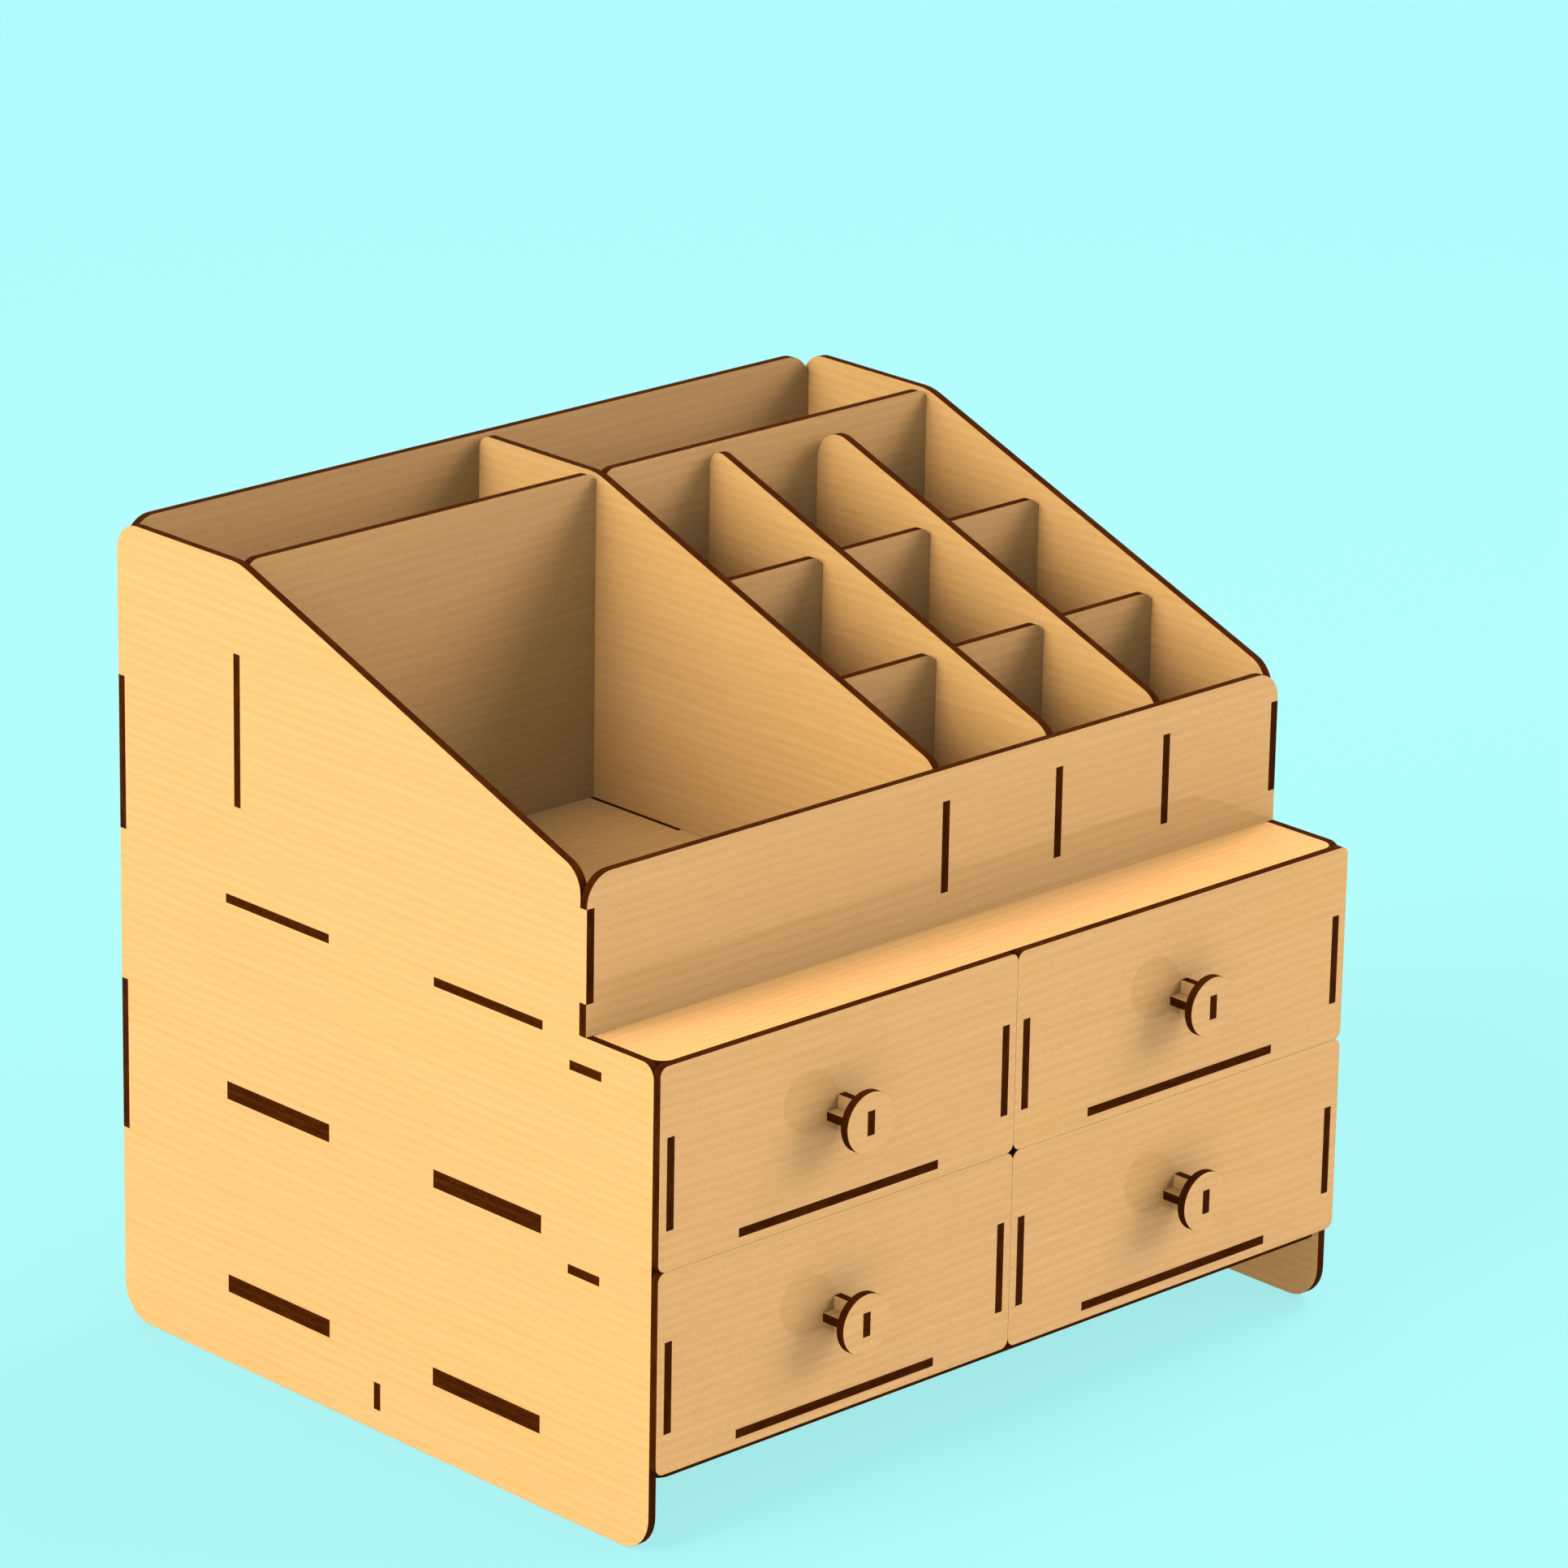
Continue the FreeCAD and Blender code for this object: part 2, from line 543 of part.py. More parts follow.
def knob(document, name, centre, level):
    """Cut a drawer's knob: a disc on a stem of two webs that half-lap each other."""
    disc_back = "-Sizes.knob_reach"
    disc_front = f"(-Sizes.knob_reach - {SHEET})"
    lap_end = "(-Sizes.knob_reach / 2)"

    body = document.addObject("PartDesign::Body", f"{name}_knob_disc")
    body.Label = f"{name}_knob_disc"
    disc = body.newObject("PartDesign::AdditiveCylinder", "disc")
    disc.setExpression("Radius", "Sizes.knob_radius")
    disc.setExpression("Height", SHEET)
    hole = body.newObject("PartDesign::SubtractiveBox", "web_slot")
    hole.setExpression("Length", f"{SHEET} + 2 * Sizes.slot_ease")
    hole.setExpression("Width", "Sizes.knob_tab + 2 * Sizes.slot_ease")
    hole.setExpression("Height", SHEET)
    hole.setExpression(".Placement.Base.x", f"-{HALF_SHEET} - Sizes.slot_ease")
    hole.setExpression(".Placement.Base.y", "-Sizes.knob_tab / 2 - Sizes.slot_ease")
    body.Placement.Rotation = FreeCAD.Rotation(FreeCAD.Vector(1, 0, 0), 90)
    body.setExpression(".Placement.Base.x", centre)
    body.setExpression(".Placement.Base.y", f"{disc_back} - {MIDDLE_DEPTH}")
    body.setExpression(".Placement.Base.z", level)

    upright = Plate(document, f"{name}_knob_upright_web", "YZ_Plane", f"({centre} - {HALF_SHEET})")
    tall = middle_span(level, level, "Sizes.knob_web_tall")
    tab = middle_span(level, level, "Sizes.knob_tab")
    upright.add("outline", [box(disc_back, "0", *tall)])
    upright.add("tabs", [box(disc_front, disc_back, *tab), box("0", CARCASS_FRONT, *tab)])
    gap = (f"({level} - {HALF_SHEET} - Sizes.slot_ease)", f"({level} + {HALF_SHEET} + Sizes.slot_ease)")
    upright.cut("half_lap", [box(lap_end, CARCASS_FRONT, *gap)])

    flat = Plate(document, f"{name}_knob_flat_web", "XY_Plane", f"({level} - {HALF_SHEET})")
    flat.add("outline", [box(*middle_span(centre, centre, "Sizes.knob_web_wide"), disc_back, "0")])
    flat.add("tab", [box(*middle_span(centre, centre, "Sizes.knob_tab"), "0", CARCASS_FRONT)])
    flat.cut("half_lap", [lap(
        f"({centre} - {HALF_SHEET})", f"({centre} + {HALF_SHEET})", disc_back, lap_end)])


def build(document):
    """Make the spreadsheet and every sub-part."""
    sheet = document.addObject("Spreadsheet::Sheet", "Sizes")
    for row, (name, value) in enumerate(SIZES.items(), start=1):
        sheet.set(f"A{row}", str(value))
        sheet.setAlias(f"A{row}", name)
    document.recompute()

    side_plate(document, "left_side", f"-{SIDE_OUT}", [])
    side_plate(document, "right_side", SIDE_IN, cross_tab_slots())
    back_panel(document)
    for name in SHELVES:
        shelf(document, name, name != "bottom_shelf_lower")
    for storey in STOREYS:
        centre_plate(document, f"{storey}_left_partition", f"-{SHEET}", storey)
        centre_plate(document, f"{storey}_right_partition", "0", storey)
        keeper_rail(document, storey)
    foot_stretcher(document)
    tray_front(document)
    middle_divider(document)
    bay_divider(document, "inner_bay_divider", "Sizes.lip_round")
    bay_divider(document, "outer_bay_divider", "Sizes.rack_round")
    knee_partition(document)
    for name in CROSS_PLACES:
        cross_divider(document, name)
    for storey in STOREYS:
        for hand in ("left", "right"):
            drawer(document, storey, hand)
    document.recompute()


def check(document):
    """Stop if any object failed to compute or any sub-part isn't one valid solid."""
    for item in document.Objects:
        if "Invalid" in item.State or "Error" in item.State:
            raise RuntimeError(f"{item.Label}: {item.State}")
    for body in document.findObjects("PartDesign::Body"):
        shape = body.Shape
        if shape.isNull() or not shape.isValid() or len(shape.Solids) != 1:
            raise RuntimeError(f"{body.Label}: its shape isn't one valid solid")


def main():
    """Build, check and write each sub-part to a STEP file of its own."""
    document = FreeCAD.newDocument("organizer")
    build(document)
    check(document)
    os.makedirs("parts", exist_ok=True)
    for body in document.findObjects("PartDesign::Body"):
        body.Shape.exportStep(f"parts/{body.Label}.step")


main()
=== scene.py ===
"""Dresses the hobby workstation organizer in laser-cut plywood, in a plain, pale studio."""

import logging
import math
from dataclasses import dataclass
from enum import Enum

import bpy
from mathutils import Matrix, Vector


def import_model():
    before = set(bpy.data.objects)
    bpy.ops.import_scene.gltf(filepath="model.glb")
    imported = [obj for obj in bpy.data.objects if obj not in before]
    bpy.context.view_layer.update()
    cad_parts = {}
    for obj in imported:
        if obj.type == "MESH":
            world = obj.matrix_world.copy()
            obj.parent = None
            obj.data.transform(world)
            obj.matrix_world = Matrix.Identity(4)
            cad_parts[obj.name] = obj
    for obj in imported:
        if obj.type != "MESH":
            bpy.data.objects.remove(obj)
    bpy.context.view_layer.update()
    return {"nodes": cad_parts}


LOG = logging.getLogger("organizer")
MILLIMETRES = 1000.0
WHITE = (1.0, 1.0, 1.0)

# The Mix node has a set of sockets for each kind of data, so they are found by their place.
MIX_VALUES, MIX_VALUE = (2, 3), 0
MIX_COLOURS, MIX_COLOUR = (6, 7), 2

Socket = bpy.types.NodeSocket
Colour = tuple[float, float, float]
Point = tuple[float, float, float]
Range = tuple[float, float]


class Stand(Enum):
    """How a sheet stands: the axis of its thickness, and its axes along, across and through."""

    LENGTHWISE = (0, (1, 2, 0))
    CROSSWISE = (1, (0, 2, 1))
    FLAT = (2, (0, 1, 2))

    @property
    def through(self) -> int:
        """The index of the axis that the sheet's thickness lies on."""
        return self.value[0]

    @property
    def order(self) -> tuple[int, int, int]:
        """The axes along the grain, across it, and through the sheet."""
        return self.value[1]


class Maths(Enum):
    """The sums that the materials use, by the name of their node operation."""

    ADD = "ADD"
    SUBTRACT = "SUBTRACT"
    MULTIPLY = "MULTIPLY"
    ABSOLUTE = "ABSOLUTE"
    MAXIMUM = "MAXIMUM"
    SINE = "SINE"


@dataclass(frozen=True)
class Layer:
    """A layer of noise: its features in a metre along, across and through a sheet.

    detail is the number of finer layers in it, rough their strength, and used the part of its
    values that is spread from 0 to 1.
    """

    features: Point
    detail: float
    rough: float = 0.5
    used: Range = (0.0, 1.0)


class Tree:
    """A short way to add and join nodes in a material's, world's or group's node tree."""

    def __init__(self, nodes: bpy.types.NodeTree) -> None:
        """Keeps the tree to add to.

        Args:
            nodes: the node tree, emptied first.
        """
        self.tree = nodes
        self.tree.nodes.clear()

    def node(self, kind: str, **settings: object) -> bpy.types.Node:
        """Adds a node and sets its properties.

        Args:
            kind: the node's type name, without the leading ShaderNode.
            settings: properties of the node by name.

        Returns:
            The new node.
        """
        made = self.tree.nodes.new(f"ShaderNode{kind}")
        for name, value in settings.items():
            setattr(made, name, value)
        return made

    def feed(self, socket: Socket, value: object) -> None:
        """Links an output to a socket, or sets the socket to a plain number, colour or vector.

        Args:
            socket: the input that is fed.
            value: another node's output, a number, or a colour or vector.
        """
        if isinstance(value, bpy.types.NodeSocket):
            self.tree.links.new(value, socket)
        elif isinstance(value, tuple) and socket.type == "RGBA":
            socket.default_value = (*value, 1.0)
        else:
            socket.default_value = value

    def sum(self, kind: Maths, first: object, second: object = 0.0) -> Socket:
        """Adds a maths node.

        Args:
            kind: the sum it does.
            first: its first value.
            second: its second value, where it has one.

        Returns:
            The node's result.
        """
        made = self.node("Math", operation=kind.value)
        self.feed(made.inputs[0], first)
        if kind not in (Maths.ABSOLUTE, Maths.SINE):
            self.feed(made.inputs[1], second)
        return made.outputs[0]

    def vector(self, operation: str, first: object, second: object) -> Socket:
        """Adds a node that works on two vectors.

        Args:
            operation: what it does, as the node names it.
            first: its first vector.
            second: its second vector.

        Returns:
            The node's vector.
        """
        made = self.node("VectorMath", operation=operation)
        self.feed(made.inputs[0], first)
        self.feed(made.inputs[1], second)
        return made.outputs[0]

    def axes(self, vector: Socket) -> bpy.types.NodeOutputs:
        """Takes a vector apart.

        Args:
            vector: the vector.

        Returns:
            Its three parts.
        """
        made = self.node("SeparateXYZ")
        self.feed(made.inputs[0], vector)
        return made.outputs

    def spread(self, value: Socket, used: Range, onto: Range = (0.0, 1.0)) -> Socket:
        """Maps a value smoothly from one range to another, and keeps it there.

        Args:
            value: the value to map.
            used: where its range starts and ends.
            onto: the results at those ends.

        Returns:
            The mapped value.
        """
        made = self.node("MapRange", interpolation_type="SMOOTHSTEP")
        for socket, given in zip(made.inputs[:5], (value, *used, *onto)):
            self.feed(socket, given)
        return made.outputs[0]

    def noise(self, place: Socket, layer: Layer) -> Socket:
        """Adds a noise whose grain has its own length along each axis.

        Args:
            place: the point in metres.
            layer: the noise's measures.

        Returns:
            The noise, about 0.5 on average.
        """
        made = self.node("TexNoise", noise_dimensions="3D")
        self.feed(made.inputs["Vector"], self.vector("MULTIPLY", place, layer.features))
        made.inputs["Scale"].default_value = 1.0
        made.inputs["Detail"].default_value = layer.detail
        made.inputs["Roughness"].default_value = layer.rough
        return made.outputs[0]

    def layer(self, place: Socket, layer: Layer) -> Socket:
        """Adds a noise and spreads its used part from 0 to 1.

        Args:
            place: the point in metres.
            layer: the noise's measures.

        Returns:
            The layer's value.
        """
        return self.spread(self.noise(place, layer), layer.used)

    def blend(self, share: object, first: object, second: object, kind: str = "MIX") -> Socket:
        """Blends two colours.

        Args:
            share: how much of the second there is.
            first: the first colour.
            second: the second colour.
            kind: the way that they blend, as the node names it.

        Returns:
            The blended colour.
        """
        made = self.node("Mix", data_type="RGBA", blend_type=kind)
        self.feed(made.inputs[0], share)
        for index, given in zip(MIX_COLOURS, (first, second)):
            self.feed(made.inputs[index], given)
        return made.outputs[MIX_COLOUR]

    def between(self, share: object, first: object, second: object) -> Socket:
        """Blends two values.

        Args:
            share: how much of the second there is.
            first: the first value.
            second: the second value.

        Returns:
            The blended value.
        """
        made = self.node("Mix", data_type="FLOAT")
        self.feed(made.inputs[0], share)
        for index, given in zip(MIX_VALUES, (first, second)):
            self.feed(made.inputs[index], given)
        return made.outputs[MIX_VALUE]

    def shade(self, kind: str, colour: Colour, strength: float | None = None) -> Socket:
        """Adds a shader of one colour.

        Args:
            kind: the shader's type name, without the leading ShaderNode.
            colour: its colour.
            strength: how much light it gives, where it gives any.

        Returns:
            The shader.
        """
        made = self.node(kind)
        self.feed(made.inputs["Color"], colour)
        if strength is not None:
            made.inputs["Strength"].default_value = strength
        return made.outputs[0]

    def mix(self, share: Socket, first: Socket, second: Socket) -> Socket:
        """Mixes two shaders.

        Args:
            share: how much of the second there is.
            first: the first shader.
            second: the second shader.

        Returns:
            The mixed shader.
        """
        made = self.node("MixShader")
        for socket, given in zip(made.inputs, (share, first, second)):
            self.feed(socket, given)
        return made.outputs[0]


class Effect(Tree):
    """A node group that several materials share."""

    def __init__(self, name: str, inputs: dict[str, str], outputs: dict[str, str]) -> None:
        """Makes the group with its named sockets.

        Args:
            name: the group's name.
            inputs: each input's name, and Float, Vector or Color.
            outputs: each output's name, and Float, Vector or Color.
        """
        super().__init__(bpy.data.node_groups.new(name, "ShaderNodeTree"))
        for way, sockets in (("INPUT", inputs), ("OUTPUT", outputs)):
            for label, kind in sockets.items():
                self.tree.interface.new_socket(
                    name=label, in_out=way, socket_type=f"NodeSocket{kind}"
                )
        self.given = self.tree.nodes.new("NodeGroupInput").outputs
        self.result = self.tree.nodes.new("NodeGroupOutput").inputs

    def place(self, into: Tree, **values: object) -> bpy.types.NodeOutputs:
        """Places the group in a material.

        Args:
            into: the material's tree.
            values: what feeds each input, by its name in lower case.

        Returns:
            The placed group's outputs.
        """
        made = into.node("Group", node_tree=self.tree)
        for name, value in values.items():
            into.feed(made.inputs[name.title()], value)
        return made.outputs


@dataclass(frozen=True)
class Veneer:
    """The figure of a rotary-cut veneer: growth streaks, fibres, ray flecks and drifts of tone.

    ring is the distance between streaks in metres, and wander_by and wobble_by how far a slow and
    a quick wave bend them. Each share is how strong its layer is.
    """

    ring: float = 0.0035
    wander: Layer = Layer((8.0, 10.0, 8.0), 1.0)
    wander_by: float = 0.006
    wobble: Layer = Layer((25.0, 160.0, 60.0), 2.0)
    wobble_by: float = 0.0018
    loose: Layer = Layer((12.0, 300.0, 60.0), 2.0, 0.55, (0.3, 0.7))
    loose_share: float = 0.4
    fibre: Layer = Layer((110.0, 1200.0, 300.0), 3.0, 0.6, (0.35, 0.75))
    fibre_share: float = 0.35
    fibre_tint: Colour = (0.90, 0.87, 0.80)
    fibre_relief: float = 0.6
    fleck: Layer = Layer((2400.0, 1000.0, 1000.0), 1.0, 0.5, (0.52, 0.70))
    fleck_share: float = 0.70
    fleck_tint: Colour = (0.90, 0.86, 0.80)
    drift: Layer = Layer((6.0, 17.0, 6.0), 2.0, 0.5, (0.3, 0.7))

    def effect(self) -> Effect:
        """Makes the shared group.

        Returns:
            The group. It gives the wood's colour, its relief and how open its pores are.
        """
        made = Effect(
            "veneer_figure",
            {"Place": "Vector", "Pale": "Color", "Dark": "Color", "Warm": "Color", "Cool": "Color"},
            {"Colour": "Color", "Relief": "Float", "Pores": "Float"},
        )
        place = made.given["Place"]
        waved = self._waved(made, place)
        streak = self._streak(made, waved)
        fibre = made.layer(waved, self.fibre)
        fleck = made.layer(place, self.fleck)
        wood = made.blend(streak, made.given["Dark"], made.given["Pale"])
        toned = made.blend(made.layer(place, self.drift), made.given["Cool"], made.given["Warm"])
        wood = made.blend(1.0, wood, toned, "MULTIPLY")
        lines = made.blend(
            made.sum(Maths.MULTIPLY, fibre, self.fibre_share), WHITE, self.fibre_tint
        )
        wood = made.blend(1.0, wood, lines, "MULTIPLY")
        flecks = made.blend(
            made.sum(Maths.MULTIPLY, fleck, self.fleck_share), WHITE, self.fleck_tint
        )
        made.feed(made.result["Colour"], made.blend(1.0, wood, flecks, "MULTIPLY"))
        ridges = made.sum(Maths.MULTIPLY, fibre, self.fibre_relief)
        raised = made.sum(Maths.ADD, streak, ridges)
        made.feed(made.result["Relief"], made.sum(Maths.SUBTRACT, raised, fleck))
        made.feed(made.result["Pores"], made.sum(Maths.MAXIMUM, fibre, fleck))
        return made

    def _waved(self, made: Effect, place: Socket) -> Socket:
        """Bends the place across the grain, so that the streaks wander.

        Args:
            made: the group.
            place: the point in metres.

        Returns:
            The bent place.
        """
        wander = made.sum(Maths.SUBTRACT, made.noise(place, self.wander), 0.5)
        wobble = made.sum(Maths.SUBTRACT, made.noise(place, self.wobble), 0.5)
        slow = made.sum(Maths.MULTIPLY, wander, self.wander_by)
        quick = made.sum(Maths.MULTIPLY, wobble, self.wobble_by)
        shift = made.node("CombineXYZ")
        made.feed(shift.inputs["Y"], made.sum(Maths.ADD, slow, quick))
        return made.vector("ADD", place, shift.outputs[0])

    def _streak(self, made: Effect, waved: Socket) -> Socket:
        """Draws the growth streaks, part even rings and part loose ones.

        Args:
            made: the group.
            waved: the bent place.

        Returns:
            The streaks, from 0 to 1.
        """
        turns = made.sum(Maths.MULTIPLY, made.axes(waved)["Y"], math.tau / self.ring)
        ring = made.sum(Maths.MULTIPLY, made.sum(Maths.SINE, turns), 0.5)
        ring = made.sum(Maths.ADD, ring, 0.5)
        return made.between(self.loose_share, ring, made.layer(waved, self.loose))


@dataclass(frozen=True)
class LaserCut:
    """The burnt wall that a laser leaves: three plies, dark glue lines and fine pulse marks.

    A distance from the sheet's middle is a share of its thickness. Each share is how much its
    layer lightens the char, and glue_dark how much a glue line takes away.
    """

    pulse: Layer = Layer((3600.0, 3600.0, 260.0), 1.0, 0.5, (0.35, 0.65))
    pulse_share: float = 0.25
    smoke: Layer = Layer((130.0, 130.0, 420.0), 3.0, 0.6, (0.3, 0.7))
    smoke_share: float = 0.6
    smoke_relief: float = 0.5
    core_edge: Range = (0.15, 0.2)
    outer_share: float = 0.15
    glue_at: float = 0.17
    glue_half: float = 0.03
    glue_dark: float = 0.3

    def effect(self) -> Effect:
        """Makes the shared group.

        Returns:
            The group. It gives the char's colour and its relief.
        """
        made = Effect(
            "laser_cut",
            {"Place": "Vector", "Depth": "Float", "Char": "Color", "Brown": "Color"},
            {"Colour": "Color", "Relief": "Float"},
        )
        pulse = made.layer(made.given["Place"], self.pulse)
        smoke = made.layer(made.given["Place"], self.smoke)
        middle = made.sum(Maths.ABSOLUTE, made.sum(Maths.SUBTRACT, made.given["Depth"], 0.5))
        outer = made.spread(middle, self.core_edge)
        glue = made.sum(Maths.ABSOLUTE, made.sum(Maths.SUBTRACT, middle, self.glue_at))
        clear = made.spread(glue, (0.0, self.glue_half))
        share = made.sum(
            Maths.ADD,
            made.sum(Maths.MULTIPLY, smoke, self.smoke_share),
            made.sum(Maths.MULTIPLY, pulse, self.pulse_share),
        )
        share = made.sum(Maths.ADD, share, made.sum(Maths.MULTIPLY, outer, self.outer_share))
        kept = made.sum(Maths.MULTIPLY, clear, self.glue_dark)
        kept = made.sum(Maths.ADD, kept, 1.0 - self.glue_dark)
        share = made.sum(Maths.MULTIPLY, share, kept)
        burnt = made.blend(share, made.given["Char"], made.given["Brown"])
        made.feed(made.result["Colour"], burnt)
        sooty = made.sum(Maths.MULTIPLY, smoke, self.smoke_relief)
        made.feed(made.result["Relief"], made.sum(Maths.ADD, pulse, sooty))
        return made


@dataclass(frozen=True)
class SheetFace:
    """The mask that tells a sheet's veneered faces from its cut walls, by the way they face."""

    facing: Range = (0.82, 0.94)

    def effect(self) -> Effect:
        """Makes the shared group.

        Returns:
            The group. It gives 1 on a face and 0 on a wall.
        """
        made = Effect("sheet_face", {"Facing": "Float"}, {"Face": "Float"})
        turned = made.sum(Maths.ABSOLUTE, made.given["Facing"])
        made.feed(made.result["Face"], made.spread(turned, self.facing))
        return made


@dataclass(frozen=True)
class Plywood:
    """Sanded birch plywood with laser-burnt edges, one material for each way a sheet stands.

    passed_on and passed_up are what an upright and a flat sheet colour the light that they pass on:
    far darker than the wood, they are painted shade that keeps the deep bays and cells dim. apart
    is how far the sheets' places in the veneer may lie from each other, in metres.
    """

    name: str = "plywood"
    pale: Colour = (0.775, 0.445, 0.177)
    dark: Colour = (0.715, 0.396, 0.144)
    warm: Colour = (1.012, 1.0, 0.97)
    cool: Colour = (0.988, 0.995, 1.03)
    char: Colour = (0.032, 0.0055, 0.0003)
    brown: Colour = (0.067, 0.0150, 0.0006)
    passed_on: Colour = (0.12, 0.06, 0.03)
    passed_up: Colour = (0.24, 0.165, 0.080)
    apart: Point = (3.7, 1.9, 2.3)
    face_rough: Range = (0.50, 0.66)
    wall_rough: float = 0.86
    face_gloss: float = 0.25
    gloss_rough: float = 0.48
    specular: float = 0.20
    ior: float = 1.12
    relief: float = 0.00003
    relief_strength: float = 0.35

    def materials(self) -> dict[Stand, bpy.types.Material]:
        """Makes the material for each stand.

        Returns:
            The materials by stand.
        """
        effects = (Veneer().effect(), LaserCut().effect(), SheetFace().effect())
        return {stand: self._material(stand, *effects) for stand in Stand}

    def _place(self, tree: Tree, where: Socket, stand: Stand) -> Socket:
        """Turns a point into the veneer's own axes, with a place of its own for each sheet.

        Args:
            tree: the material's tree.
            where: the point in the object's axes.
            stand: how the sheet stands.

        Returns:
            The point along, across and through the sheet.
        """
        parts = tree.axes(where)
        turned = tree.node("CombineXYZ")
        for socket, axis in zip(turned.inputs, stand.order):
            tree.feed(socket, parts[axis])
        own = tree.node("VectorMath", operation="SCALE")
        tree.feed(own.inputs[0], self.apart)
        tree.feed(own.inputs["Scale"], tree.node("ObjectInfo").outputs["Random"])
        return tree.vector("ADD", turned.outputs[0], own.outputs[0])

    def _material(
        self, stand: Stand, veneer: Effect, wall: Effect, face: Effect
    ) -> bpy.types.Material:
        """Makes the material of a sheet that stands one way.

        Args:
            stand: how the sheet stands.
            veneer: the veneer's figure.
            wall: the cut wall's look.
            face: the mask of the veneered faces.

        Returns:
            The material.
        """
        made = bpy.data.materials.new(f"{self.name}_{stand.name.lower()}")
        made.use_nodes = True
        tree = Tree(made.node_tree)
        where = tree.node("TexCoord").outputs
        place = self._place(tree, where["Object"], stand)
        facing = tree.axes(where["Normal"])[stand.through]
        depth = tree.axes(where["Generated"])[stand.through]
        on_face = face.place(tree, facing=facing)["Face"]
        wood = veneer.place(
            tree, place=place, pale=self.pale, dark=self.dark, warm=self.warm, cool=self.cool
        )
        burnt = wall.place(tree, place=place, depth=depth, char=self.char, brown=self.brown)
        shader = tree.node("BsdfPrincipled")
        look = tree.blend(on_face, burnt["Colour"], wood["Colour"])
        # Light passed on between sheets takes a colour far darker than the wood: painted shade that
        # dims the deep bays.
        passed = self.passed_up if stand is Stand.FLAT else self.passed_on
        indirect = tree.node("LightPath").outputs["Is Diffuse Ray"]
        tree.feed(shader.inputs["Base Color"], tree.blend(indirect, look, passed))
        face_rough = tree.spread(wood["Pores"], (0.0, 1.0), self.face_rough)
        rough = tree.between(on_face, self.wall_rough, face_rough)
        tree.feed(shader.inputs["Roughness"], rough)
        gloss = tree.sum(Maths.MULTIPLY, on_face, self.face_gloss)
        tree.feed(shader.inputs["Coat Weight"], gloss)
        shader.inputs["Coat Roughness"].default_value = self.gloss_rough
        shader.inputs["Specular IOR Level"].default_value = self.specular
        shader.inputs["IOR"].default_value = self.ior
        bump = tree.node("Bump")
        bump.inputs["Strength"].default_value = self.relief_strength
        bump.inputs["Distance"].default_value = self.relief
        height = tree.between(on_face, burnt["Relief"], wood["Relief"])
        tree.feed(bump.inputs["Height"], height)
        tree.feed(shader.inputs["Normal"], bump.outputs[0])
        tree.feed(tree.node("OutputMaterial").inputs["Surface"], shader.outputs[0])
        return made


@dataclass(frozen=True)
class Sheet:
    """One laser-cut sheet. Its lengths are in metres and its angles in radians."""

    node: str
    stand: Stand
    sharp: bool = False
    arris: float = 0.00008
    arris_steps: int = 2
    arris_angle: float = 0.7
    weld: float = 0.00001
    flat_angle: float = 0.01

    def dress(
        self, nodes: dict[str, bpy.types.Object], finish: dict[Stand, bpy.types.Material]
    ) -> None:
        """Gives the sheet its material, and breaks its arrises unless it is a sharp one.

        Args:
            nodes: the carried-over solids by name.
            finish: the plywood by stand.
        """
        piece = nodes[self.node]
        for slot in piece.material_slots:
            slot.material = finish[self.stand]
        weld = piece.modifiers.new("join_faces", "WELD")
        weld.merge_threshold = self.weld
        flat = piece.modifiers.new("merge_flats", "DECIMATE")
        flat.decimate_type = "DISSOLVE"
        flat.angle_limit = self.flat_angle
        if not self.sharp:
            soft = piece.modifiers.new("arris", "BEVEL")
            soft.width = self.arris
            soft.segments = self.arris_steps
            soft.limit_method = "ANGLE"
            soft.angle_limit = self.arris_angle
            soft.harden_normals = True
        arris = "sharp" if self.sharp else f"arris {self.arris * MILLIMETRES:.2f} mm"
        LOG.info("%s: %s sheet, %s", self.node, self.stand.name.lower(), arris)


@dataclass
class Assembly:
    """A group of sheets that is dressed together."""

    title: str
    lengthwise: tuple[str, ...] = ()
    crosswise: tuple[str, ...] = ()
    flat: tuple[str, ...] = ()
    sharp: tuple[str, ...] = ()

    def sheets(self) -> list[Sheet]:
        """Lists the sheets with the way that each one stands.

        Returns:
            The sheets.
        """
        rows = (
            (Stand.LENGTHWISE, self.lengthwise),
            (Stand.CROSSWISE, self.crosswise),
            (Stand.FLAT, self.flat),
        )
        return [Sheet(name, stand, name in self.sharp) for stand, names in rows for name in names]

    def dress(
        self, nodes: dict[str, bpy.types.Object], finish: dict[Stand, bpy.types.Material]
    ) -> None:
        """Dresses every sheet of the group.

        Args:
            nodes: the carried-over solids by name.
            finish: the plywood by stand.
        """
        sheets = self.sheets()
        for sheet in sheets:
            sheet.dress(nodes, finish)
        LOG.info("%s: %d sheets", self.title, len(sheets))


@dataclass
class Carcass(Assembly):
    """The case: its side plates, back, shelves, partitions, rails and stretcher."""

    title: str = "carcass"
    lengthwise: tuple[str, ...] = (
        "left_side",
        "right_side",
        "upper_left_partition",
        "upper_right_partition",
        "lower_left_partition",
        "lower_right_partition",
    )
    crosswise: tuple[str, ...] = ("back_panel", "foot_stretcher")
    flat: tuple[str, ...] = (
        "deck",
        "mid_shelf_upper",
        "mid_shelf_lower",
        "bottom_shelf_upper",
        "bottom_shelf_lower",
        "upper_keeper_rail",
        "lower_keeper_rail",
    )


@dataclass
class ToolRack(Assembly):
    """The open rack on top: the tray front, the knee partition and the bays' dividers."""

    title: str = "tool rack"
    lengthwise: tuple[str, ...] = ("middle_divider", "inner_bay_divider", "outer_bay_divider")
    crosswise: tuple[str, ...] = (
        "tray_front",
        "knee_partition",
        "front_cross_divider",
        "rear_cross_divider",
    )


